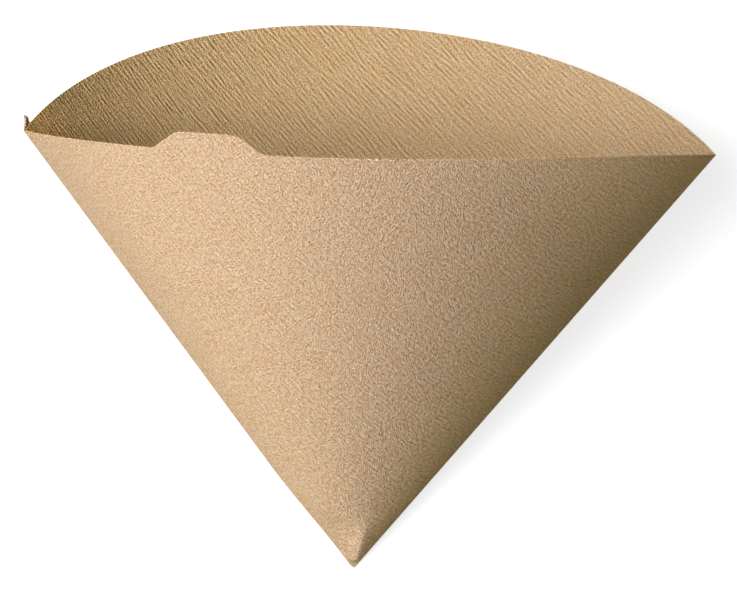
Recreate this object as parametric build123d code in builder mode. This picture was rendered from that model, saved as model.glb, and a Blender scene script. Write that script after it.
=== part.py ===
"""Cone-shaped paper coffee filter, opened and lying on its back ply.

The filter is one sheet of crepe paper, a half disc, folded once and crimped along its open edge.
Folded flat it is a quarter disc. Opened, each ply is a patch of a round cone about the tip, so the
rim stays at one distance from the tip. The plies meet at the fold, at +X, and at the seam, at -X.
The mouth opens towards +Y, the back ply rests on Z = 0 and the front ply is on top.
Lengths are in millimetres.
"""

import os
from math import asin, atan2, ceil, cos, degrees, radians, sin, tan

from build123d import *

# The sheet
slant_length = 118.0  # from the tip to the rim, along the paper
ply_angle = 90.0  # at the tip of one ply laid flat, in degrees
paper = 0.20  # thickness of one ply

# How far the filter is opened
squeeze = 27.5  # by which the fold and the seam come together at the rim, from the flat filter

# The blunt tip, where the fold and the seam pinch the plies together
tip_at_fold = 1.0  # cut off along the fold, from the point of the cone
tip_at_seam = 3.0  # cut off along the seam
tip_pinch = 1.0  # length that is pressed shut above the cut

# The finger tab on the front rim
tab_height = 4.6
tab_width = 17.5  # at half its height
tab_seam_flank = 34.0  # slope of its side towards the seam, in degrees
tab_fold_flank = 54.0  # slope of its side towards the fold, in degrees
tab_offset = 34.4  # along the rim, from the middle of the front ply towards the seam
tab_root_radius = 3.0
tab_corner_radius = 5.0
tab_overlap = 3.0  # how far its blank reaches down into the ply

# The crimped seam, a strip of both plies bent over behind the back ply's edge
seam_width = 7.0
seam_stand = 17.5  # of the strip off the back ply, about the crease, in degrees
seam_rise = 1.2  # how far its free corner stands above the rim
seam_clearance = 0.5  # between its tapered end and what the back ply rests on
crimp_pitch = 2.0  # of the ribs pressed across it
crimp_depth = 0.30  # of the ribs, from crest to trough
crimp_crest = 0.40  # flat length of each crest and trough
crimp_clearance = 0.05  # between the ribs and the back ply, where the strip is still flat

# Angles at the tip, in radians, from the middle line of the mouth to a crease and to the middle of a ply
flat_width = 2 * slant_length * sin(radians(ply_angle / 2))
crease_angle = asin((flat_width - squeeze) / 2 / slant_length)


def cone_angle_for(belly_angle):
    """Half angle of the cone through both creases and the middle of the ply between them."""
    across = sin(belly_angle) * cos(crease_angle)
    return atan2(1 - cos(belly_angle) * cos(crease_angle), across)


def half_turn_for(belly_angle):
    """Angle about that cone's own axis, from the middle of the ply to a crease."""
    off_axis = sin(cone_angle_for(belly_angle) - belly_angle)
    return atan2(sin(crease_angle), cos(crease_angle) * off_axis)


def solve_belly_angle():
    """The plies bow out as the creases close in, because the paper doesn't stretch."""
    shut, wide = 0.0, radians(ply_angle / 2)
    while wide - shut > 1e-12:
        middle = (shut + wide) / 2
        if 2 * half_turn_for(middle) * sin(cone_angle_for(middle)) < radians(ply_angle):
            shut = middle
        else:
            wide = middle
    return shut


belly_angle = solve_belly_angle()
cone_angle = cone_angle_for(belly_angle)
half_turn = half_turn_for(belly_angle)
ply_spare = 5.0  # by which a ply is turned past its creases before it is cut there, in degrees
front_rise = 2 * belly_angle  # slope of the front ply's middle line above the back ply's

# Planes and axes through the tip, which is at the origin until the part is placed
crease_plane = Plane(
    origin=(0, 0, 0),
    x_dir=(1, 0, 0),
    z_dir=(0, -sin(belly_angle), cos(belly_angle)),
)
back_axis = Axis((0, 0, 0), (0, cos(cone_angle), sin(cone_angle)))
front_axis = Axis((0, 0, 0), (0, cos(front_rise - cone_angle), sin(front_rise - cone_angle)))
front_section = Plane(
    origin=(0, 0, 0),
    x_dir=(0, cos(front_rise), sin(front_rise)),
    z_dir=(1, 0, 0),
)
front_face = Plane(
    origin=(0, 0, 0),
    x_dir=(1, 0, 0),
    z_dir=(0, -sin(front_rise), cos(front_rise)),
)


def turned(plane, axis, angle):
    """A plane through the tip, turned about a ply's axis by an angle in degrees."""
    return Plane(
        origin=plane.origin,
        x_dir=plane.x_dir.rotate(axis, angle),
        z_dir=plane.z_dir.rotate(axis, angle),
    )


# The finger tab: a short stretch of the front ply's cone, past the rim, trimmed to its outline
tab_turn = degrees(tab_offset / slant_length / sin(cone_angle))
tab_flanks = (tab_seam_flank, tab_fold_flank)


def tab_side(flank, height):
    """Distance from the middle of the tab to one of its sides, at a height above the rim."""
    return tab_width / 2 + (tab_height / 2 - height) / tan(radians(flank))


def tab_blend(flank):
    """Length along the rim that the fillet at the root of a side takes up."""
    return tab_root_radius * tan(radians(flank) / 2)


tab_spread = max(tab_side(flank, 0) + tab_blend(flank) for flank in tab_flanks)
tab_sink = tab_spread**2 / 2 / slant_length + paper  # the rim curves down this far beside it
tab_foot = max(tab_side(flank, -tab_sink) + tab_blend(flank) for flank in tab_flanks) + paper
tab_reach = degrees(2 * tab_foot / slant_length / sin(cone_angle))

with BuildPart() as tab:
    with BuildSketch(turned(front_section, front_axis, -tab_turn - tab_reach)):
        with Locations((slant_length - tab_overlap, 0)):
            Rectangle(tab_overlap + 2 * tab_height, paper, align=(Align.MIN, Align.MAX))
    revolve(axis=front_axis, revolution_arc=2 * tab_reach)
    with BuildSketch(turned(front_face, front_axis, -tab_turn)) as tab_outline:
        with BuildLine():
            Polyline(
                (-tab_foot, slant_length - tab_overlap),
                (-tab_foot, slant_length - tab_sink),
                (-tab_side(tab_seam_flank, -tab_sink), slant_length - tab_sink),
                (-tab_side(tab_seam_flank, tab_height), slant_length + tab_height),
                (tab_side(tab_fold_flank, tab_height), slant_length + tab_height),
                (tab_side(tab_fold_flank, -tab_sink), slant_length - tab_sink),
                (tab_foot, slant_length - tab_sink),
                (tab_foot, slant_length - tab_overlap),
                close=True,
            )
        make_face()
        fillet(tab_outline.vertices().group_by(Axis.Y)[1].sort_by(Axis.X)[1:3], radius=tab_root_radius)
        fillet(tab_outline.vertices().group_by(Axis.Y)[-1], radius=tab_corner_radius)
    extrude(amount=tab_foot, both=True, mode=Mode.INTERSECT)

# The seam: a crimped strip along the left crease, tapered at the tip so that it clears the floor
crease_line = Vector(
    -sin(crease_angle),
    cos(crease_angle) * cos(belly_angle),
    cos(crease_angle) * sin(belly_angle),
)
back_tangent = Vector(1, 0, 0).rotate(back_axis, degrees(half_turn))
seam_way = back_tangent.rotate(Axis((0, 0, 0), crease_line), seam_stand)
seam_face = Plane(origin=(0, 0, 0), x_dir=crease_line, z_dir=crease_line.cross(seam_way))
seam_taper = (seam_clearance - seam_width * seam_way.Z) / crease_line.Z
back_skin_normal = Vector(0, 0, -1).rotate(back_axis, degrees(half_turn))
back_skin = Plane(origin=back_skin_normal * (-paper / 2), z_dir=back_skin_normal)

seam_reach = slant_length + seam_rise
crimp_margin = (2 * paper + crimp_depth / 2 + crimp_clearance) / tan(radians(seam_stand))
crimp_section = Plane(origin=seam_way * crimp_margin, x_dir=crease_line, z_dir=seam_way)


def crimp_wave(depth):
    """One face of the crimped strip, a row of crests and troughs, at a depth in the strip."""
    points = []
    for half_wave in range(2 * ceil(seam_reach / crimp_pitch)):
        middle = (half_wave + 0.5) * crimp_pitch / 2
        side = 1 if half_wave % 2 else -1
        for end in (-crimp_crest / 2, crimp_crest / 2):
            points.append((middle + end, depth + side * crimp_depth / 2))
    return points


with BuildPart() as seam:
    with BuildSketch(seam_face):
        Rectangle(seam_reach, crimp_margin, align=(Align.MIN, Align.MIN))
    extrude(amount=-2 * paper)
    with BuildSketch(crimp_section):
        with BuildLine():
            Polyline(*crimp_wave(0), *reversed(crimp_wave(2 * paper)), close=True)
        make_face()
    extrude(amount=seam_width - crimp_margin)
    with BuildSketch(seam_face):
        with BuildLine():
            Polyline(
                (0, 0),
                (slant_length, 0),
                (seam_reach, seam_width),
                (seam_taper, seam_width),
                close=True,
            )
        make_face()
    extrude(amount=2 * paper + crimp_depth, both=True, mode=Mode.INTERSECT)
    split(bisect_by=back_skin, keep=Keep.TOP)

# The tip: pressed shut over a short length, then cut at a slant from the fold to the seam
tip_start = min(tip_at_fold, tip_at_seam) / 2
pinch_end = max(tip_at_fold, tip_at_seam) + tip_pinch
fold_line = Vector(-crease_line.X, crease_line.Y, crease_line.Z)
tip_corner = fold_line * tip_at_fold
tip_edge = crease_line * tip_at_seam - tip_corner
tip_face = Plane(origin=tip_corner, z_dir=tip_edge.cross(crease_plane.z_dir))

# The whole sheet: the back ply, turned about its own axis, cut at the creases and doubled over them
ply_sweep = 2 * degrees(half_turn) + 2 * ply_spare


def on_back_axis(slant):
    """Point of the back ply's section beside a point of its skin, square across to the axis."""
    return (slant * cos(cone_angle) ** 2, slant * cos(cone_angle) * sin(cone_angle))


with BuildPart() as filter_paper:
    with BuildSketch(turned(Plane.YZ, back_axis, -ply_sweep / 2)):
        with BuildLine():
            Polyline(
                (tip_start, 0),
                (slant_length, 0),
                (slant_length, paper),
                (pinch_end, paper),
                on_back_axis(pinch_end),
                on_back_axis(tip_start),
                close=True,
            )
        make_face()
    revolve(axis=back_axis, revolution_arc=ply_sweep)
    split(bisect_by=crease_plane, keep=Keep.BOTTOM)
    mirror(about=crease_plane)
    add(tab.part)
    add(seam.part)
    split(bisect_by=tip_face, keep=Keep.TOP)

os.makedirs("parts", exist_ok=True)
box = filter_paper.part.bounding_box()
placed = Pos(-box.center().X, -box.center().Y, -box.min.Z) * filter_paper.part
placed.label = "filter_paper"
export_step(placed, "parts/filter_paper.step")

print(f"mouth {flat_width - squeeze:.2f} wide, {2 * slant_length * sin(belly_angle):.2f} deep")
print(f"each ply's cone has a half angle of {degrees(cone_angle):.2f} degrees")
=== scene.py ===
"""Paper coffee filter: one sheet of crepe paper, folded into a cone and crimped along its seam.

The sheet starts as a flat blank, a half disc with a finger tab on its rim. A node tree crepes it, folds it
around two cone plies and welds them along the seam. A second tree presses the ribs into the seam strip.
Flat places are given as X across the fold, negative on the front ply, Y along the fold from the tip,
and Z out of the paper, with the outer skin at zero. Lengths are in metres and angles in radians.
"""

from math import asin, atan2, ceil, cos, pi, radians, sin, tan

import bpy
import numpy as np
from mathutils import Matrix, Quaternion, Vector


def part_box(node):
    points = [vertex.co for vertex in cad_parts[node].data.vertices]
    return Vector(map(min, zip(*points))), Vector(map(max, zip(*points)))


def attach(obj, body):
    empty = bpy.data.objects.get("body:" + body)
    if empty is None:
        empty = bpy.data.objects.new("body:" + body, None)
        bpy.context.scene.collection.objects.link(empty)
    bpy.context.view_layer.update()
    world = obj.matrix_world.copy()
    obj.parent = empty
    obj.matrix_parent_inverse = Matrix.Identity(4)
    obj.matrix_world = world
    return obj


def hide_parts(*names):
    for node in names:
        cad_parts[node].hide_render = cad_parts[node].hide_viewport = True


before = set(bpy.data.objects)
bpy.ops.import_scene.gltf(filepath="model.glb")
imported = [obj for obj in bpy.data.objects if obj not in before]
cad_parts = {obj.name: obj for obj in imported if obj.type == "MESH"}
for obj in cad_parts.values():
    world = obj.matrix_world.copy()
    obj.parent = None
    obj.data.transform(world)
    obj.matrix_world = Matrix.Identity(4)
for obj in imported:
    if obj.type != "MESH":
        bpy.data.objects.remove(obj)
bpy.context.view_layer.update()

MM = 0.001

# The sheet
SLANT_LENGTH = 118 * MM
PLY_ANGLE = radians(90)
PAPER = 0.20 * MM
SQUEEZE = 27.5 * MM

# The finger tab on the front rim
TAB_HEIGHT = 4.6 * MM
TAB_WIDTH = 17.5 * MM
TAB_SEAM_FLANK = radians(34)
TAB_FOLD_FLANK = radians(54)
TAB_OFFSET = 34.4 * MM
TAB_ROOT_RADIUS = 3 * MM
TAB_CORNER_RADIUS = 5 * MM

# The blunt tip: how far it is cut back along the fold and along the seam, and the rows that give way
TIP_AT_FOLD = 1.7 * MM
TIP_AT_SEAM = 3.0 * MM
TIP_ROWS = 10 * MM

# The crimped seam strip: ribs past a flat margin, and two layers with the back ply's one set back
SEAM_WIDTH = 7 * MM
SEAM_STAND = radians(17.5)
SEAM_RISE = 1.2 * MM
SEAM_CLEARANCE = 0.5 * MM
CRIMP_PITCH = 2.0 * MM
CRIMP_DEPTH = 0.30 * MM
CRIMP_MARGIN = 1.9 * MM
CRIMP_STARTS = 0.7 * CRIMP_MARGIN
CRIMP_FULL = 1.2 * CRIMP_MARGIN
CRIMP_SHARPNESS = 0.8
SEAM_SETBACK = 0.4 * MM
LAYER_FILL = 0.95

# Crepe: ridges in the mesh, and crinkle, grain and mottle in the material's bump. Ridges and crinkle run
# across the fold and are faint on the outside. On the inside the crinkle also fades towards the fold.
RIDGE_PITCH = 1.00 * MM
RIDGE_LENGTH = 5.0 * MM
RIDGE_HEIGHT = 0.16 * MM
RIDGE_DRIFT = 2.0
CRINKLE_LENGTH = 3.6 * MM
CRINKLE_HEIGHT = 0.58 * MM
OUTER_RIDGES = 0.20
FOLD_RIDGES = 0.38
GRAIN_PITCH = 0.20 * MM
GRAIN_LENGTH = 0.38 * MM
GRAIN_HEIGHT = 0.62 * MM
INNER_GRAIN = 0.95
MOTTLE_PITCH = 0.80 * MM
MOTTLE_LENGTH = 1.1 * MM
MOTTLE_HEIGHT = 0.26 * MM
CREASE_PRESS = 1.0 * MM

# How the rim of the opened filter swings out from two equal plies: one wave, then a shorter one
FRONT_SWING = -2.35 * MM
FRONT_RIPPLE = 1.10 * MM
BACK_SWING = -1.00 * MM
BACK_RIPPLE = -0.75 * MM

# How the creases leave one plane: the fold lifts at the rim and the seam turns in at the tip
FOLD_LIFT = 1.8 * MM
SEAM_DRIFT = 1.3 * MM
DRIFT_FULL = 3 * MM
DRIFT_GONE = 30 * MM

# The tip: a roof with its ridge off the middle of the front ply, pressed shut at its end
ROOF_PLACE = 0.17
ROOF_LIFT = 1.2
ROOF_BLEND = 0.12
ROOF_FULL = 10 * MM
ROOF_GONE = 20 * MM
PINCH_FULL = 2 * MM
PINCH_GONE = 4.5 * MM
PINCH_GAP = 0.01 * MM
WELD_DISTANCE = 0.002 * MM

# Seeds of the random patterns
RIDGE_SEED = 3.0
GRAIN_SEED = 12.0
MOTTLE_SEED = 18.0
FIBRE_SEED = 23.0
CLOUD_SEED = 33.0
CRINKLE_SEED = 43.0
SECOND_DRIFT_SEED = 5.0

# The pulp: its colours, in linear light, and how strongly each pattern moves it from dark to pale
PAPER_PALE = (0.97, 0.66, 0.415, 1)
PAPER_DARK = (0.36, 0.245, 0.145, 1)
PAPER_SPECULAR = 0.2
TROUGH_ROUGHNESS = 0.95
CREST_ROUGHNESS = 0.82
# Painted shade and highlight on the crinkle: how much its troughs are darkened and its crests paled
CRINKLE_PAINTED_SHADE = 2.2
GRAIN_TONE = 2.80
MOTTLE_TONE = 0.60
FOLD_MOTTLE = 0.6
FIBRE_LENGTH = 0.9 * MM
FIBRE_WIDTH = 0.16 * MM
FIBRE_TONE = 0.50
FIBRE_HEIGHT = 0.03 * MM
CLOUD_SIZE = 5 * MM
CLOUD_RANGE = 0.12
CLOUD_TONE = 0.35
CLOUD_TINT = (0.93, 0.97, 1.0, 1)
EDGE_TONE = 0.8

# Tints by place on the sheet, most of them painted light and shade. The inside is a little yellower, with
# painted shade towards the seam and towards its creases, and painted bounce light in its corner at the
# seam. The outer skin has painted shade beside the seam, a yellower painted shade beside the fold and a
# painted highlight at the fold's corner on the rim. The spreads and the limits of the fold's painted shade
# are sines of the angle from the seam,
# 0 there and 1 at the fold.
INNER_TINT_AND_SHADE = (0.98, 0.96, 0.70, 1)
INNER_TINT_AND_SHADE_FADE = 0.8
CREASE_SHADE = (0.85, 0.85, 0.85, 1)
SEAM_PAINTED_GLOW = (1.0, 0.88, 0.76, 1)
SEAM_PAINTED_GLOW_SPREAD = 0.16
SEAM_PAINTED_GLOW_TONE = 0.40
SEAM_SHADE = (0.90, 0.905, 0.97, 1)
SEAM_SHADE_SPREAD = 0.30
FOLD_PAINTED_SHADE_TINT = (1.0, 1.0, 0.87, 1)
FOLD_PAINTED_SHADE_STARTS = 0.80
FOLD_PAINTED_SHADE_FULL = 0.99
FOLD_CORNER_LIGHT_ROOM = 33 * MM
FOLD_CORNER_PAINTED_LIGHT = 0.25

# The studio: a floor that shows as white and throws a warm light back, and three lamps up to the left.
# Each lamp has the way to it from the filter, its power in watts and its colour.
FLOOR_BOUNCE = (0.50, 0.495, 0.26, 1)
FLOOR_SHADED = (0.35, 0.35, 0.35, 1)
FLOOR_GLOW = 0.80
FLOOR_HALF_SIDE = 4.0
FLOOR_DROP = 0.05 * MM
WORLD_LIGHT = 0.02
LAMP_DISTANCE = 0.9
LAMP_SIDE = 0.45
LAMPS = {
    "key": ((-0.61, -0.35, 0.71), 4.3, (1.0, 0.985, 1.18)),
    "top": ((-0.49, 0.0, 0.87), 11.0, (1.0, 0.985, 0.94)),
    "fill": ((-0.60, 0.50, 0.62), 0.6, (1.0, 1.0, 1.2)),
}

# How finely the blank is divided
ROW_STEP = 0.27 * MM
FOLD_STEP = 0.45 * MM
RIM_STEP = 2.5 * MM
RIM_STEP_FROM = SLANT_LENGTH / 3
RIM_SAMPLES = 4001
CORNER_ROWS = 4
STEPS_PER_RIB = 8
SEAM_ROWS = 10
SPREAD_MARGIN = 1.5 * MM

# The photograph's view, about the mouth line: turn to the side, rise above it and roll. The focal length
# and the target's place are in pixels.
PHOTO_SIZE = (737, 591)
VIEW_TURN = radians(-3.91)
VIEW_RISE = radians(19.56)
VIEW_ROLL = radians(2.90)
VIEW_DISTANCE = 5 * SLANT_LENGTH
VIEW_TARGET = 0.5 * SLANT_LENGTH
VIEW_FOCAL = 2873
VIEW_TARGET_PIXEL = (363.1, 311.2)
SENSOR_WIDTH = 36
CLIP_START = 10 * MM

ANGLE_TOLERANCE = 1e-12

# Angles at the tip, from the mouth line to a crease and to the middle of a ply
crease_angle = asin((2 * SLANT_LENGTH * sin(PLY_ANGLE / 2) - SQUEEZE) / 2 / SLANT_LENGTH)


def cone_angle_for(belly_angle):
    """Half angle of the cone through both creases and the middle of the ply between them."""
    across = sin(belly_angle) * cos(crease_angle)
    return atan2(1 - cos(belly_angle) * cos(crease_angle), across)


def half_turn_for(belly_angle):
    """Angle about that cone's own axis, from the middle of the ply to a crease."""
    off_axis = sin(cone_angle_for(belly_angle) - belly_angle)
    return atan2(sin(crease_angle), cos(crease_angle) * off_axis)


def solve_belly_angle():
    """The plies bow out as the creases close in, because the paper doesn't stretch."""
    shut = 0.0
    wide = PLY_ANGLE / 2
    while wide - shut > ANGLE_TOLERANCE:
        middle = (shut + wide) / 2
        if 2 * half_turn_for(middle) * sin(cone_angle_for(middle)) < PLY_ANGLE:
            shut = middle
        else:
            wide = middle
    return shut


belly_angle = solve_belly_angle()
cone_angle = cone_angle_for(belly_angle)
half_turn = half_turn_for(belly_angle)

# The frame of the creases: X from the seam to the fold, Y along the mouth line, Z towards the front
box_low, box_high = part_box("filter_paper")
tip = Vector((box_high.x - SLANT_LENGTH * sin(crease_angle), box_high.y - SLANT_LENGTH, box_low.z))
crease_frame = Matrix.Translation(tip) @ Matrix.Rotation(belly_angle, 4, "X")

# The frame of the seam strip: X along the crease from the tip, Y across the strip, Z out of its face
crease_line = Vector(
    (-sin(crease_angle), cos(crease_angle) * cos(belly_angle), cos(crease_angle) * sin(belly_angle))
)
back_axis = Vector((0, cos(cone_angle), sin(cone_angle)))
back_tangent = Quaternion(back_axis, half_turn) @ Vector((1, 0, 0))
seam_way = Quaternion(crease_line, SEAM_STAND) @ back_tangent
seam_out = crease_line.cross(seam_way)
seam_frame = Matrix.Translation(tip) @ Matrix((crease_line, seam_way, seam_out)).transposed().to_4x4()
seam_taper = (SEAM_CLEARANCE - SEAM_WIDTH * seam_way.z) / crease_line.z


class Field:
    """A number in a node tree. Arithmetic on it adds the Math nodes that work it out."""

    def __init__(self, tree, socket):
        self.tree = tree
        self.socket = socket

    def __add__(self, other):
        return math(self.tree, "ADD", self, other)

    def __radd__(self, other):
        return math(self.tree, "ADD", other, self)

    def __sub__(self, other):
        return math(self.tree, "SUBTRACT", self, other)

    def __rsub__(self, other):
        return math(self.tree, "SUBTRACT", other, self)

    def __mul__(self, other):
        return math(self.tree, "MULTIPLY", self, other)

    def __rmul__(self, other):
        return math(self.tree, "MULTIPLY", other, self)

    def __truediv__(self, other):
        return math(self.tree, "DIVIDE", self, other)

    def __abs__(self):
        return math(self.tree, "ABSOLUTE", self)


def feed(tree, socket, value):
    """Gives a node's input its value, by a link from a field or as a constant."""
    if isinstance(value, Field):
        tree.links.new(value.socket, socket)
    elif isinstance(value, bpy.types.NodeSocket):
        tree.links.new(value, socket)
    else:
        socket.default_value = value


def add_node(tree, kind, inputs=None, **settings):
    """Adds a node with its settings, then its inputs by name or number."""
    node = tree.nodes.new(kind)
    for name, value in settings.items():
        setattr(node, name, value)
    for name, value in (inputs or {}).items():
        feed(tree, node.inputs[name], value)
    return node


def math(tree, operation, *values):
    """The result of a Math node."""
    node = add_node(tree, "ShaderNodeMath", dict(enumerate(values)), operation=operation)
    return Field(tree, node.outputs[0])


def clamped(value):
    """A field kept between 0 and 1."""
    node = add_node(value.tree, "ShaderNodeClamp", {"Value": value})
    return Field(value.tree, node.outputs[0])


def sine(value):
    return math(value.tree, "SINE", value)


def cosine(value):
    return math(value.tree, "COSINE", value)


def smooth_step(value, low, high):
    """Rises from 0 to 1 as a field goes from one value to another."""
    node = add_node(
        value.tree,
        "ShaderNodeMapRange",
        {"Value": value, "From Min": low, "From Max": high},
        interpolation_type="SMOOTHSTEP",
    )
    return Field(value.tree, node.outputs[0])


def hump(share):
    """Rises from 0 to 1 halfway along a share, and falls back to 0."""
    return share * (1.0 - share) * 4.0


def noise(tree, x, y, seed, detail):
    """Smooth noise about zero, with about one wave for every two units of the place."""
    place = add_node(tree, "ShaderNodeCombineXYZ", {"X": x, "Y": y, "Z": seed})
    node = add_node(
        tree,
        "ShaderNodeTexNoise",
        {"Vector": place.outputs[0], "Scale": 1.0, "Detail": detail},
    )
    return Field(tree, node.outputs[0]) - 0.5


def new_geometry_tree(name, sizes):
    """A Geometry Nodes tree with a mesh, named numbers and a material as its inputs."""
    tree = bpy.data.node_groups.new(name, "GeometryNodeTree")
    tree.interface.new_socket("Mesh", in_out="INPUT", socket_type="NodeSocketGeometry")
    for size in sizes:
        tree.interface.new_socket(size, in_out="INPUT", socket_type="NodeSocketFloat")
    tree.interface.new_socket("Material", in_out="INPUT", socket_type="NodeSocketMaterial")
    tree.interface.new_socket("Mesh", in_out="OUTPUT", socket_type="NodeSocketGeometry")
    given = tree.nodes.new("NodeGroupInput")
    fields = {size: Field(tree, given.outputs[size]) for size in sizes}
    return tree, given, fields


def end_geometry_tree(tree, given, mesh):
    """Realizes the mesh and gives it its material."""
    real = add_node(tree, "GeometryNodeRealizeInstances", {"Geometry": mesh})
    painted = add_node(
        tree,
        "GeometryNodeSetMaterial",
        {"Geometry": real.outputs[0], "Material": given.outputs["Material"]},
    )
    tree.links.new(painted.outputs[0], tree.nodes.new("NodeGroupOutput").inputs[0])


def make_piece(name, blank, tree, sizes, material, place):
    """Runs a tree on a blank mesh, keeps the result as a plain mesh and puts it in its place."""
    piece = bpy.data.objects.new(name, blank)
    bpy.context.scene.collection.objects.link(piece)
    modifier = piece.modifiers.new(tree.name, "NODES")
    modifier.node_group = tree
    for socket in tree.interface.items_tree:
        if socket.in_out == "INPUT" and socket.name in sizes:
            modifier[socket.identifier] = sizes[socket.name]
        elif socket.in_out == "INPUT" and socket.name == "Material":
            modifier[socket.identifier] = material
    graph = bpy.context.evaluated_depsgraph_get()
    made = bpy.data.meshes.new_from_object(
        piece.evaluated_get(graph), preserve_all_data_layers=True, depsgraph=graph
    )
    piece.modifiers.clear()
    piece.data = made
    made.name = name
    made.transform(place)
    return piece


# The flat blank


def tab_rise(along_rim):
    """Height of the finger tab above the rim, at a distance from its middle towards the seam."""
    flank = np.where(along_rim > 0, TAB_SEAM_FLANK, TAB_FOLD_FLANK)
    root_blend = TAB_ROOT_RADIUS * np.tan(flank / 2)
    corner_blend = TAB_CORNER_RADIUS * np.tan(flank / 2)
    foot = TAB_WIDTH / 2 + TAB_HEIGHT / 2 / np.tan(flank)
    shoulder = TAB_WIDTH / 2 - TAB_HEIGHT / 2 / np.tan(flank)
    side = np.abs(along_rim)
    into_root = np.clip(foot + root_blend - side, 0, TAB_ROOT_RADIUS)
    root_arc = TAB_ROOT_RADIUS - np.sqrt(TAB_ROOT_RADIUS**2 - into_root**2)
    past_corner = np.clip(side - shoulder + corner_blend, 0, TAB_CORNER_RADIUS)
    corner_arc = TAB_HEIGHT - TAB_CORNER_RADIUS + np.sqrt(TAB_CORNER_RADIUS**2 - past_corner**2)
    return np.select(
        [
            side > foot - root_blend * np.cos(flank),
            side > shoulder + corner_blend * np.cos(flank),
        ],
        [root_arc, (foot - side) * np.tan(flank)],
        corner_arc,
    )


def rim_reach(rows, with_tab):
    """How far a ply reaches from the fold in each row, out to its rim."""
    angle = np.linspace(0, PLY_ANGLE, RIM_SAMPLES)
    radius = np.full_like(angle, SLANT_LENGTH)
    if with_tab:
        middle = PLY_ANGLE / 2 + TAB_OFFSET / SLANT_LENGTH
        radius = radius + tab_rise((angle - middle) * SLANT_LENGTH)
    height = radius * np.cos(angle)
    reach = radius * np.sin(angle)
    return np.interp(rows, height[::-1], reach[::-1])


def blank_rows():
    """Heights of the rows above the tip, closer together at the fold's end of the rim."""
    last = SLANT_LENGTH - ROW_STEP
    even = np.linspace(0, last, ceil(last / ROW_STEP) + 1)
    corner = 1 - np.linspace(1, 0, CORNER_ROWS, endpoint=False)[1:] ** 2
    return np.concatenate([even, last + ROW_STEP * corner])


def blank_columns():
    """Distances of the columns from the fold, in steps that grow towards the seam."""
    columns = [0.0]
    while columns[-1] < SLANT_LENGTH + TAB_HEIGHT:
        growth = min(1, columns[-1] / RIM_STEP_FROM)
        columns.append(columns[-1] + FOLD_STEP + (RIM_STEP - FOLD_STEP) * growth)
    return np.array(columns)


def tip_cut(x, row):
    """How far the blunt tip pushes a point up from its row."""
    edge = np.clip(1 - np.abs(x) / TIP_AT_SEAM, 0, 1) * TIP_AT_FOLD
    return edge * np.clip(1 - row / TIP_ROWS, 0, 1)


def stitch(low, high):
    """Faces between two rows that share their columns, with a fan at the end of the longer one."""
    shared = min(len(low), len(high)) - 1
    faces = [(low[k], low[k + 1], high[k + 1], high[k]) for k in range(shared)]
    faces += [(low[k], low[k + 1], high[-1]) for k in range(shared, len(low) - 1)]
    faces += [(low[-1], high[k + 1], high[k]) for k in range(shared, len(high) - 1)]
    return faces


def sheet_blank():
    """The flat sheet: an outer and an inner skin, joined along the rim and the blunt tip."""
    rows = blank_rows()
    columns = blank_columns()
    places = []
    halves = {}
    for side, with_tab in ((-1, True), (1, False)):
        halves[side] = []
        for row, reach in zip(rows, rim_reach(rows, with_tab)):
            x = side * np.append(columns[columns < reach - FOLD_STEP], reach)
            if side > 0:
                x = x[1:]
            line = list(range(len(places), len(places) + len(x)))
            places += zip(x, row + tip_cut(x, row))
            if side > 0:
                line = [halves[-1][len(halves[1])][0]] + line
            halves[side].append(line)
    fold_corner = len(places)
    places.append((0, SLANT_LENGTH))
    skin_size = len(places)

    outer = []
    for side, lines in halves.items():
        faces = []
        for low, high in zip(lines, lines[1:] + [[fold_corner]]):
            faces += stitch(low, high)
        outer += faces if side > 0 else [face[::-1] for face in faces]
    inner = [tuple(point + skin_size for point in reversed(face)) for face in outer]

    rim = [line[-1] for line in halves[1]] + [fold_corner] + [line[-1] for line in reversed(halves[-1])]
    cut_columns = np.count_nonzero(columns < TIP_AT_SEAM) + 1
    tip_edge = halves[-1][0][:cut_columns][::-1] + halves[1][0][1:cut_columns]
    walls = []
    for line in (rim, tip_edge):
        for first, second in zip(line, line[1:]):
            walls.append((second, first, first + skin_size, second + skin_size))

    flat = np.column_stack([np.array(places), np.zeros(skin_size)])
    points = np.concatenate([flat, flat - [0, 0, PAPER]])
    mesh = bpy.data.meshes.new("sheet_blank")
    mesh.from_pydata(points.tolist(), [], outer + inner + walls, shade_flat=False)
    mesh.update()
    fold_line = [line[0] for line in halves[1]] + [fold_corner]
    mark_sharp(mesh, (rim, fold_line, halves[1][0], halves[-1][0]), skin_size)
    lay_out(mesh, points, len(outer) + len(inner))
    return mesh


def mark_sharp(mesh, lines, skin_size):
    """Keeps the shading crisp along these lines of the outer skin, and along the same ones inside."""
    pairs = set()
    for line in lines:
        for first, second in zip(line, line[1:]):
            pairs.add(frozenset((first, second)))
            pairs.add(frozenset((first + skin_size, second + skin_size)))
    ends = np.zeros(2 * len(mesh.edges), np.int32)
    mesh.edges.foreach_get("vertices", ends)
    sharp = [frozenset(pair) in pairs for pair in ends.reshape(-1, 2).tolist()]
    mesh.attributes.new("sharp_edge", "BOOLEAN", "EDGE").data.foreach_set("value", sharp)


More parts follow.
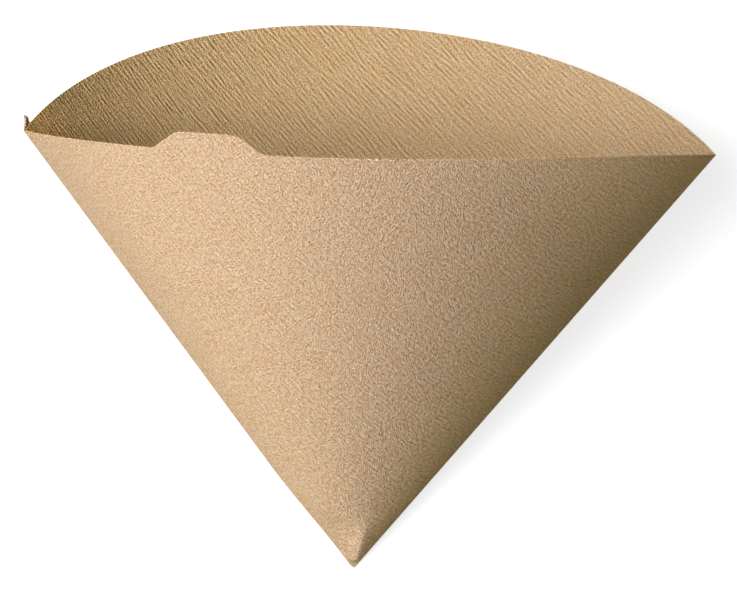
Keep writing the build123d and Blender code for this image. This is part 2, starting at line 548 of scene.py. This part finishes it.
def lay_out(mesh, points, skin_faces):
    """Maps each corner to its flat place, which the crepe follows, and to a spread of both skins."""
    corner_points = np.zeros(len(mesh.loops), np.int32)
    mesh.loops.foreach_get("vertex_index", corner_points)
    flat = points[corner_points, :2]
    inside = points[corner_points, 2] < 0
    face_starts = np.zeros(len(mesh.polygons), np.int32)
    mesh.polygons.foreach_get("loop_start", face_starts)
    wall = np.arange(len(mesh.loops)) >= face_starts[skin_faces]

    # The outer skin fills the lower half of the spread and the inner one the upper half
    spread = flat.copy()
    rim_way = flat / np.maximum(np.linalg.norm(flat, axis=1, keepdims=True), PAPER)
    spread[wall & inside] += 2 * PAPER * rim_way[wall & inside]
    spread += [SLANT_LENGTH + SPREAD_MARGIN, SPREAD_MARGIN]
    spread[inside & ~wall, 1] += SLANT_LENGTH + 2 * SPREAD_MARGIN
    spread /= 2 * (SLANT_LENGTH + 2 * SPREAD_MARGIN)
    for name, places in (("flat_sheet", flat), ("OFBake", spread)):
        layer = mesh.uv_layers.new(name=name)
        layer.uv.foreach_set("vector", places.astype(np.float32).ravel())
    skin = (points[:, 2] < 0).astype(np.float32)
    mesh.attributes.new("inside", "FLOAT", "POINT").data.foreach_set("value", skin)


def crepe_ridges(x, y, pitch, length, seed):
    """Short waves along the fold, about zero, that fade and drift out of step both ways."""
    across = x / length
    along = y / (pitch * RIDGE_DRIFT)
    even_drift = noise(x.tree, across, along, seed, detail=0.0)
    odd_drift = noise(x.tree, across, along, seed + SECOND_DRIFT_SEED, detail=0.0)
    phase = y * (2 * pi) / pitch
    return even_drift * cosine(phase) + odd_drift * sine(phase)


# The crepe cone


def crepe_fold_tree(sizes):
    """Crepes the flat sheet, folds it around the two plies and welds the seam."""
    tree, given, size = new_geometry_tree("Crepe and fold", sizes)
    position = add_node(tree, "GeometryNodeInputPosition")
    place = add_node(tree, "ShaderNodeSeparateXYZ", {0: position.outputs[0]})
    x, y, z = (Field(tree, output) for output in place.outputs)
    inside_node = add_node(tree, "GeometryNodeInputNamedAttribute", {"Name": "inside"}, data_type="FLOAT")
    inside = Field(tree, inside_node.outputs[0])

    # Crepe, pressed flat along the fold and the seam
    ridge = crepe_ridges(x, y, size["Ridge pitch"], size["Ridge length"], size["Seed"])
    free = smooth_step(math(tree, "MINIMUM", abs(x), y), 0.0, size["Crease press"])
    ridge_share = size["Outer ridges"] + (1.0 - size["Outer ridges"]) * inside
    depth = z + ridge * ridge_share * size["Ridge height"] * free

    # Around the cone: the flat angle from the fold becomes a turn about the ply's own axis
    radius = math(tree, "SQRT", x * x + y * y)
    fold_angle = math(tree, "ARCTAN2", abs(x), y)
    turn = (size["Ply angle"] * 0.5 - fold_angle) / sine(size["Cone angle"])
    axial = radius * cosine(size["Cone angle"]) - depth * sine(size["Cone angle"])
    radial = radius * sine(size["Cone angle"]) + depth * cosine(size["Cone angle"])
    lean = size["Belly angle"] - size["Cone angle"]
    across = radial * sine(turn)
    along = axial * cosine(lean) - radial * cosine(turn) * sine(lean)
    rise = axial * sine(lean) + radial * cosine(turn) * cosine(lean)

    # Each ply's own unevenness grows from the tip to the rim, and is nothing at the creases
    front = math(tree, "LESS_THAN", x, 0.0)
    swing = size["Back swing"] + (size["Front swing"] - size["Back swing"]) * front
    ripple = size["Back ripple"] + (size["Front ripple"] - size["Back ripple"]) * front
    share = turn / size["Half turn"]
    uneven = swing * sine(share * pi) + ripple * cosine(share * (1.5 * pi))
    rise = rise + uneven * radius / size["Slant length"]

    # Near the tip the front ply bends along one line, and both plies close
    roof_side = math(
        tree,
        "SMOOTH_MIN",
        (share + 1.0) / (size["Roof place"] + 1.0),
        (1.0 - share) / (1.0 - size["Roof place"]),
        size["Roof blend"],
    )
    roof = roof_side * size["Roof lift"] * radius * sine(size["Belly angle"]) + depth
    roof_share = (1.0 - smooth_step(radius, size["Roof full"], size["Roof gone"])) * front
    rise = rise + (roof - rise) * roof_share
    open_share = smooth_step(radius, size["Pinch full"], size["Pinch gone"])
    closed_rise = (z + size["Paper"] + size["Pinch gap"]) * free * (1.0 - open_share)
    rise = math(tree, "MAXIMUM", rise * open_share, closed_rise)
    rise = math(tree, "MAXIMUM", rise, 0.0) * (front * 2.0 - 1.0)

    # The creases leave their plane
    to_fold = share * 0.5 + 0.5
    rise = rise + size["Fold lift"] * to_fold * to_fold * radius / size["Slant length"]
    drift = 1.0 - smooth_step(radius, size["Drift full"], size["Drift gone"])
    across = across + size["Seam drift"] * drift * (1.0 - to_fold)
    folded = add_node(tree, "ShaderNodeCombineXYZ", {0: across, 1: along, 2: rise})

    moved = add_node(
        tree,
        "GeometryNodeSetPosition",
        {"Geometry": given.outputs["Mesh"], "Position": folded.outputs[0]},
    )
    welded = add_node(
        tree,
        "GeometryNodeMergeByDistance",
        {"Geometry": moved.outputs[0], "Distance": size["Weld distance"]},
    )
    end_geometry_tree(tree, given, welded.outputs[0])
    return tree


# The crimped seam


def seam_blank():
    """Both edge strips of the sheet, laid flat on each other, with the back ply's strip set back."""
    columns = ceil(SLANT_LENGTH / CRIMP_PITCH) * STEPS_PER_RIB
    points = []
    faces = []
    for layer, setback in enumerate((0, SEAM_SETBACK)):
        for depth in (layer, layer + LAYER_FILL):
            for row in range(SEAM_ROWS + 1):
                out = (SEAM_WIDTH - setback) * row / SEAM_ROWS
                low = max(TIP_AT_SEAM, seam_taper * out / SEAM_WIDTH)
                high = SLANT_LENGTH + SEAM_RISE * out / SEAM_WIDTH
                deepest = min(2 * PAPER, PAPER / 2 + out * tan(SEAM_STAND))
                for column in range(columns + 1):
                    along = low + (high - low) * column / columns
                    points.append((along, out, -deepest * depth / 2))
        faces += slab_faces(2 * layer * (SEAM_ROWS + 1) * (columns + 1), SEAM_ROWS + 1, columns + 1)
    mesh = bpy.data.meshes.new("seam_blank")
    mesh.from_pydata(points, [], faces, shade_flat=False)
    mesh.update()
    corner_points = np.zeros(len(mesh.loops), np.int32)
    mesh.loops.foreach_get("vertex_index", corner_points)
    flat = np.array(points)[corner_points, :2] * [1, -1]
    mesh.uv_layers.new(name="flat_sheet").uv.foreach_set("vector", flat.astype(np.float32).ravel())
    return mesh


def slab_faces(first, row_count, column_count):
    """Faces of a closed slab from two grids of points, the upper one first."""
    below = row_count * column_count

    def at(row, column):
        return first + row * column_count + column

    faces = []
    for row in range(row_count - 1):
        for column in range(column_count - 1):
            face = (at(row, column), at(row, column + 1), at(row + 1, column + 1), at(row + 1, column))
            faces.append(face)
            faces.append(tuple(point + below for point in reversed(face)))
    right = [at(row, column_count - 1) for row in range(row_count)]
    top = [at(row_count - 1, column) for column in reversed(range(column_count))]
    left = [at(row, 0) for row in reversed(range(row_count))]
    bottom = [at(0, column) for column in range(column_count)]
    edge = bottom + right[1:] + top[1:] + left[1:]
    for start, end in zip(edge, edge[1:]):
        faces.append((end, start, start + below, end + below))
    return faces


def seam_crimp_tree(sizes):
    """Presses ribs across the strip, past its flat margin, and draws the strip inwards near the tip."""
    tree, given, size = new_geometry_tree("Crimp the seam", sizes)
    position = add_node(tree, "GeometryNodeInputPosition")
    place = add_node(tree, "ShaderNodeSeparateXYZ", {0: position.outputs[0]})
    along, out, depth = (Field(tree, output) for output in place.outputs)
    wave = clamped(sine(along * (2 * pi) / size["Crimp pitch"]) * size["Crimp sharpness"] + 0.5)
    pressed = smooth_step(out, size["Crimp starts"], size["Crimp full"])
    lift = (0.5 - wave) * size["Crimp depth"] * pressed
    drift = size["Seam drift"] * (1.0 - smooth_step(along, size["Drift full"], size["Drift gone"]))
    inward = seam_frame.to_3x3().inverted() @ crease_frame.to_3x3().col[0]
    crimped = add_node(
        tree,
        "ShaderNodeCombineXYZ",
        {0: along + drift * inward.x, 1: out + drift * inward.y, 2: depth + lift + drift * inward.z},
    )
    moved = add_node(
        tree,
        "GeometryNodeSetPosition",
        {"Geometry": given.outputs["Mesh"], "Position": crimped.outputs[0]},
    )
    end_geometry_tree(tree, given, moved.outputs[0])
    return tree


# Materials


def mixed(tree, share, first, second, blend="MIX"):
    """A colour between two colours, or the first one blended with the second."""
    node = add_node(tree, "ShaderNodeMix", {0: share}, data_type="RGBA", blend_type=blend)
    # The node's sockets for colours come after those for numbers and vectors
    feed(tree, node.inputs[6], first)
    feed(tree, node.inputs[7], second)
    return node.outputs[2]


def crepe_material():
    """Unbleached crepe paper: cloudy pulp and short fibres, with painted shade in the crinkle's troughs,
    paler crests, and painted light and shade by place.

    Its places are the flat sheet's. The seam strip has no inside, so all of it counts as outer skin.
    """
    material = bpy.data.materials.new("unbleached_crepe")
    material.use_nodes = True
    tree = material.node_tree
    shader = tree.nodes["Principled BSDF"]
    flat = add_node(tree, "ShaderNodeUVMap", uv_map="flat_sheet")
    place = add_node(tree, "ShaderNodeSeparateXYZ", {0: flat.outputs[0]})
    x = Field(tree, place.outputs[0])
    y = Field(tree, place.outputs[1])
    inside_node = add_node(tree, "ShaderNodeAttribute", attribute_name="inside")
    inside = Field(tree, inside_node.outputs["Fac"])

    outside = 1.0 - inside
    cut_edge = hump(inside)
    near_fold = 1.0 - x * x / SLANT_LENGTH**2
    from_tip = math(tree, "SQRT", x * x + y * y)
    from_seam = y / from_tip

    # Patterns of the pulp
    inner_ridges = 1.0 - near_fold * (1 - FOLD_RIDGES)
    crinkle = crepe_ridges(x, y, RIDGE_PITCH, CRINKLE_LENGTH, CRINKLE_SEED)
    crinkle = crinkle * (OUTER_RIDGES + (inner_ridges - OUTER_RIDGES) * inside)
    grain = noise(tree, x / GRAIN_LENGTH, y / GRAIN_PITCH, GRAIN_SEED, detail=1.0)
    grain = grain * (1.0 - inside * (1 - INNER_GRAIN))
    mottle = noise(tree, x / MOTTLE_LENGTH, y / MOTTLE_PITCH, MOTTLE_SEED, detail=1.0)
    mottle = mottle * outside * (1.0 + near_fold * FOLD_MOTTLE)
    fibre = noise(tree, x / FIBRE_LENGTH, y / FIBRE_WIDTH, FIBRE_SEED, detail=2.0)
    cloud = noise(tree, x / CLOUD_SIZE, y / CLOUD_SIZE, CLOUD_SEED, detail=2.0)

    # Tone, from dark to pale, with painted shade and highlight on the crinkle, painted bounce light in the
    # inside's corner at the seam and a painted highlight at the outer corner by the fold
    # Painted bounce light: the inside's corner at the seam is paler and warmer
    seam_painted_glow = (1.0 - smooth_step(from_seam, 0.0, SEAM_PAINTED_GLOW_SPREAD)) * inside
    # Painted highlight: the outer skin is paler towards the fold's corner at the rim
    fold_corner = smooth_step(y, SLANT_LENGTH - FOLD_CORNER_LIGHT_ROOM, SLANT_LENGTH) * outside
    tone = crinkle * CRINKLE_PAINTED_SHADE + grain * GRAIN_TONE + mottle * MOTTLE_TONE
    tone = tone + fibre * FIBRE_TONE + cloud * CLOUD_TONE + cut_edge * EDGE_TONE
    tone = tone + seam_painted_glow * SEAM_PAINTED_GLOW_TONE + fold_corner * FOLD_CORNER_PAINTED_LIGHT
    crest = clamped(tone + 0.5)
    colour = mixed(tree, crest, PAPER_DARK, PAPER_PALE)

    # Tints by place, mostly painted light and shade
    # Painted shade: the outer skin and the seam strip darken beside the seam, more towards the rim
    seam_shade = (1.0 - smooth_step(from_seam, 0.0, SEAM_SHADE_SPREAD)) * from_tip / SLANT_LENGTH
    # Painted shade colour: the outer skin beside the fold, on its shaded side, is yellower
    fold_shade_side = smooth_step(from_seam, FOLD_PAINTED_SHADE_STARTS, FOLD_PAINTED_SHADE_FULL)
    tints = [
        (smooth_step(cloud, -CLOUD_RANGE, CLOUD_RANGE), CLOUD_TINT),
        # The inside is a little yellower, and the tint grows towards the seam as painted shade
        (inside * (1.0 - near_fold * INNER_TINT_AND_SHADE_FADE), INNER_TINT_AND_SHADE),
        # Painted shade: the inside darkens towards its creases, but not in its corner at the seam
        (inside * (1.0 - hump(near_fold)) * (1.0 - seam_painted_glow), CREASE_SHADE),
        (seam_painted_glow, SEAM_PAINTED_GLOW),
        (seam_shade * outside, SEAM_SHADE),
        (fold_shade_side * outside, FOLD_PAINTED_SHADE_TINT),
    ]
    for share, tint in tints:
        colour = mixed(tree, share, colour, tint, "MULTIPLY")
    tree.links.new(colour, shader.inputs["Base Color"])
    roughness = TROUGH_ROUGHNESS + (CREST_ROUGHNESS - TROUGH_ROUGHNESS) * crest
    feed(tree, shader.inputs["Roughness"], roughness)
    shader.inputs["Specular IOR Level"].default_value = PAPER_SPECULAR

    height = crinkle * CRINKLE_HEIGHT + grain * GRAIN_HEIGHT + mottle * MOTTLE_HEIGHT
    height = height + fibre * FIBRE_HEIGHT
    bump = add_node(tree, "ShaderNodeBump", {"Height": height, "Strength": 1.0, "Distance": 1.0})
    tree.links.new(bump.outputs[0], shader.inputs["Normal"])
    return material


def seen_rays(tree):
    """1 for rays that show a surface to the camera, straight or by gloss or glass, and 0 for its light."""
    path = add_node(tree, "ShaderNodeLightPath")
    straight = Field(tree, path.outputs["Is Camera Ray"])
    gloss = Field(tree, path.outputs["Is Glossy Ray"])
    glass = Field(tree, path.outputs["Is Transmission Ray"])
    return math(tree, "MAXIMUM", straight, math(tree, "MAXIMUM", gloss, glass))


def floor_material():
    """Studio floor: it shows as white, with a faint shadow, and throws a warm light back on the paper."""
    material = bpy.data.materials.new("white_floor")
    material.use_nodes = True
    tree = material.node_tree
    shader = tree.nodes["Principled BSDF"]
    seen = seen_rays(tree)
    tree.links.new(mixed(tree, seen, FLOOR_BOUNCE, FLOOR_SHADED), shader.inputs["Base Color"])
    shader.inputs["Emission Color"].default_value = (1, 1, 1, 1)
    feed(tree, shader.inputs["Emission Strength"], seen * FLOOR_GLOW)
    shader.inputs["Roughness"].default_value = 1.0
    shader.inputs["Specular IOR Level"].default_value = 0.0
    return material


# The stage


def make_floor():
    """A floor just below the filter."""
    mesh = bpy.data.meshes.new("studio_floor")
    half = FLOOR_HALF_SIDE
    level = box_low.z - FLOOR_DROP
    corners = [(-half, -half, level), (half, -half, level), (half, half, level), (-half, half, level)]
    mesh.from_pydata(corners, [], [(0, 1, 2, 3)])
    mesh.materials.append(floor_material())
    floor = bpy.data.objects.new("studio_floor", mesh)
    bpy.context.scene.collection.objects.link(floor)


def make_camera():
    """Sees the filter as the photograph does."""
    away = Vector((sin(VIEW_TURN) * cos(VIEW_RISE), sin(VIEW_RISE), cos(VIEW_TURN) * cos(VIEW_RISE)))
    level_right = Vector((0, 1, 0)).cross(away).normalized()
    level_up = away.cross(level_right)
    right = cos(VIEW_ROLL) * level_right + sin(VIEW_ROLL) * level_up
    up = cos(VIEW_ROLL) * level_up - sin(VIEW_ROLL) * level_right
    turn = Matrix((right, up, away)).transposed().to_4x4()
    target = Vector((0, VIEW_TARGET, 0))
    data = bpy.data.cameras.new("photo_camera")
    width, height = PHOTO_SIZE
    data.sensor_width = SENSOR_WIDTH
    data.lens = VIEW_FOCAL / width * data.sensor_width
    data.shift_x = (width / 2 - VIEW_TARGET_PIXEL[0]) / width
    data.shift_y = (VIEW_TARGET_PIXEL[1] - height / 2) / width
    data.clip_start = CLIP_START
    camera = bpy.data.objects.new("photo_camera", data)
    camera.matrix_world = crease_frame @ Matrix.Translation(target + VIEW_DISTANCE * away) @ turn
    bpy.context.scene.collection.objects.link(camera)
    bpy.context.scene.camera = camera


def make_light(name, direction, power, colour):
    """A soft square lamp that faces the middle of the filter from a direction."""
    data = bpy.data.lights.new(name, "AREA")
    data.shape = "SQUARE"
    data.size = LAMP_SIDE
    data.energy = power
    data.color = colour
    lamp = bpy.data.objects.new(name, data)
    aim = (box_low + box_high) / 2
    away = Vector(direction).normalized()
    lamp.location = aim + LAMP_DISTANCE * away
    lamp.rotation_euler = away.to_track_quat("Z", "Y").to_euler()
    bpy.context.scene.collection.objects.link(lamp)


def make_world():
    """Shows white all round, and adds only a little light."""
    world = bpy.data.worlds.new("studio")
    bpy.context.scene.world = world
    world.use_nodes = True
    tree = world.node_tree
    background = tree.nodes["Background"]
    background.inputs["Color"].default_value = (1, 1, 1, 1)
    seen = seen_rays(tree)
    feed(tree, background.inputs["Strength"], seen * (1 - WORLD_LIGHT) + WORLD_LIGHT)


# The pieces
paper = crepe_material()
fold_sizes = {
    "Slant length": SLANT_LENGTH,
    "Ply angle": PLY_ANGLE,
    "Cone angle": cone_angle,
    "Belly angle": belly_angle,
    "Half turn": half_turn,
    "Paper": PAPER,
    "Ridge pitch": RIDGE_PITCH,
    "Ridge length": RIDGE_LENGTH,
    "Ridge height": RIDGE_HEIGHT,
    "Outer ridges": OUTER_RIDGES,
    "Crease press": CREASE_PRESS,
    "Front swing": FRONT_SWING,
    "Front ripple": FRONT_RIPPLE,
    "Back swing": BACK_SWING,
    "Back ripple": BACK_RIPPLE,
    "Fold lift": FOLD_LIFT,
    "Seam drift": SEAM_DRIFT,
    "Drift full": DRIFT_FULL,
    "Drift gone": DRIFT_GONE,
    "Roof place": ROOF_PLACE,
    "Roof lift": ROOF_LIFT,
    "Roof blend": ROOF_BLEND,
    "Roof full": ROOF_FULL,
    "Roof gone": ROOF_GONE,
    "Pinch full": PINCH_FULL,
    "Pinch gone": PINCH_GONE,
    "Pinch gap": PINCH_GAP,
    "Weld distance": WELD_DISTANCE,
    "Seed": RIDGE_SEED,
}
fold_tree = crepe_fold_tree(fold_sizes)
cone = make_piece("crepe_cone", sheet_blank(), fold_tree, fold_sizes, paper, crease_frame)
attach(cone, "root")
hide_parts("filter_paper")

crimp_sizes = {
    "Crimp pitch": CRIMP_PITCH,
    "Crimp depth": CRIMP_DEPTH,
    "Crimp starts": CRIMP_STARTS,
    "Crimp full": CRIMP_FULL,
    "Crimp sharpness": CRIMP_SHARPNESS,
    "Seam drift": SEAM_DRIFT,
    "Drift full": DRIFT_FULL,
    "Drift gone": DRIFT_GONE,
}
crimp_tree = seam_crimp_tree(crimp_sizes)
seam = make_piece("crimped_seam", seam_blank(), crimp_tree, crimp_sizes, paper, seam_frame)
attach(seam, "root")
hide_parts("filter_paper")

make_floor()
make_camera()
for name, lamp in LAMPS.items():
    make_light(name, *lamp)
make_world()
bpy.context.scene.view_settings.view_transform = "Standard"
